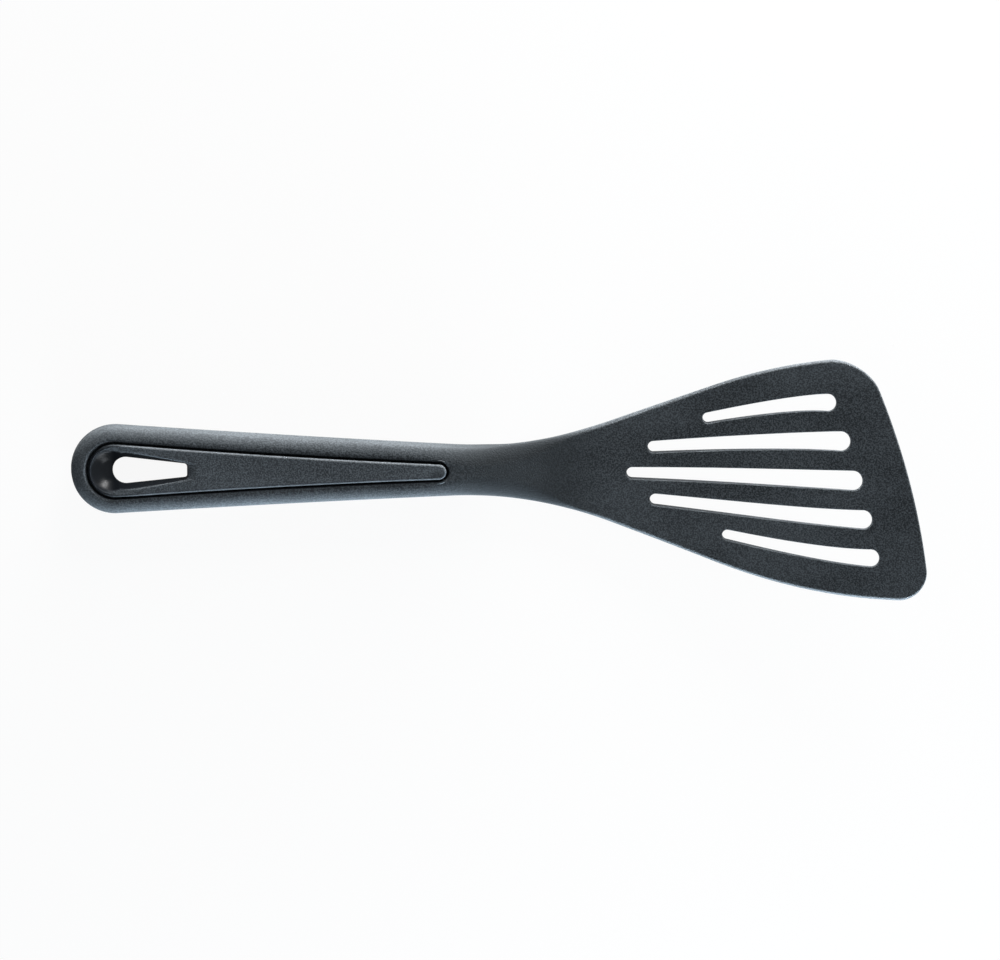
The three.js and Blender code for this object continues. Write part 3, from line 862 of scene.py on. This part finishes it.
bodyMesh, seat = makeBody()
finishPiece(bodyMesh, "turnerBody", bodyNylon(), "turner_body")
finishPiece(makeInlay(seat), "handleInlay", inlayNylon(), "handle_inlay")
print("pieces made")

# floor, light and camera
stage = {
    "floorSize": 6, "floorDrop": 0.0001, "floorColour": (0.75, 0.75, 0.75), "glow": 0.92,
    "world": 0.4, "worldColour": (0.91, 0.96, 1),
    # low soft boxes, and the two windows that show in the dish: place, aim, size, power and colour
    "lights": {
        "upperBox": ((0.35, 0.7, 0.025), (0.35, 0, 0.025), (0.8, 0.046), 47, (1, 0.98, 0.96)),
        "lowerBox": ((0.35, -0.7, 0.025), (0.35, 0, 0.025), (0.8, 0.046), 54, (0.8, 0.91, 1)),
        "upperWindow": ((0.34, 1.02, 0.42), (-0.137, 0, 0.01), (0.45, 0.45), 9, (1, 1, 1)),
        "lowerWindow": ((0.34, -1.02, 0.42), (-0.137, 0, 0.01), (0.45, 0.45), 2.2, (0.9, 0.95, 1)),
    },
}
# the photo looks down from 8 degrees off the vertical; in millimetres from the hanging end
cameraView = {
    "target": (152.72, -2.72, 12), "tilt": 8, "roll": 0.2, "distance": 1400,
    "lens": 142.2, "sensor": 36, "farthest": 20,
}


def makeFloor():
    bm = bmesh.new()
    bmesh.ops.create_grid(bm, x_segments=2, y_segments=2, size=stage["floorSize"] / 2)
    bmesh.ops.translate(bm, vec=(0, 0, -stage["floorDrop"]), verts=bm.verts[:])
    mesh = bpy.data.meshes.new("studioFloor")
    bm.to_mesh(mesh)
    bm.free()
    floor = bpy.data.objects.new("studioFloor", mesh)
    bpy.context.scene.collection.objects.link(floor)
    material = bpy.data.materials.new("studio floor")
    material.use_nodes = True
    tree = material.node_tree
    tree.nodes.clear()
    paint = tree.nodes.new("ShaderNodeBsdfDiffuse")
    paint.inputs["Color"].default_value = (*stage["floorColour"], 1)
    glow = tree.nodes.new("ShaderNodeEmission")
    path = tree.nodes.new("ShaderNodeLightPath").outputs
    seen = mathNode(tree, "MAXIMUM", path["Is Glossy Ray"], path["Is Transmission Ray"])
    seen = mathNode(tree, "MAXIMUM", path["Is Camera Ray"], seen)
    mix = tree.nodes.new("ShaderNodeMixShader")
    tree.links.new(mathNode(tree, "MULTIPLY", seen, stage["glow"]), mix.inputs[0])
    tree.links.new(paint.outputs[0], mix.inputs[1])
    tree.links.new(glow.outputs[0], mix.inputs[2])
    out = tree.nodes.new("ShaderNodeOutputMaterial")
    tree.links.new(mix.outputs[0], out.inputs["Surface"])
    mesh.materials.append(material)


def makeSoftBox(name, place, aim, size, power, colour):
    light = bpy.data.lights.new(name, "AREA")
    light.shape = "RECTANGLE"
    light.size, light.size_y = size
    light.energy = power
    light.color = colour
    lamp = bpy.data.objects.new(name, light)
    lamp.location = place
    lamp.rotation_euler = (Vector(aim) - Vector(place)).to_track_quat("-Z", "Y").to_euler()
    lamp.visible_camera = False
    bpy.context.scene.collection.objects.link(lamp)


def makeWorld():
    world = bpy.data.worlds.new("studioWorld")
    world.use_nodes = True
    sky = world.node_tree.nodes["Background"]
    sky.inputs["Color"].default_value = (*stage["worldColour"], 1)
    sky.inputs["Strength"].default_value = stage["world"]
    bpy.context.scene.world = world


def makeCamera():
    view = cameraView
    camera = bpy.data.objects.new("photoCamera", bpy.data.cameras.new("photoCamera"))
    camera.data.lens = view["lens"]
    camera.data.sensor_width = view["sensor"]
    camera.data.clip_end = view["farthest"]
    tilt = math.radians(view["tilt"])
    away = Vector((0, math.sin(tilt), math.cos(tilt))) * view["distance"]
    camera.matrix_world = (
        Matrix.Translation(seat + (Vector(view["target"]) + away) * mm)
        @ Matrix.Rotation(-tilt, 4, "X") @ Matrix.Rotation(math.radians(view["roll"]), 4, "Z"))
    bpy.context.scene.collection.objects.link(camera)
    bpy.context.scene.camera = camera


makeFloor()
for name, values in stage["lights"].items():
    makeSoftBox(name, *values)
makeWorld()
bpy.context.scene.view_settings.view_transform = "Standard"
makeCamera()
print("stage set")
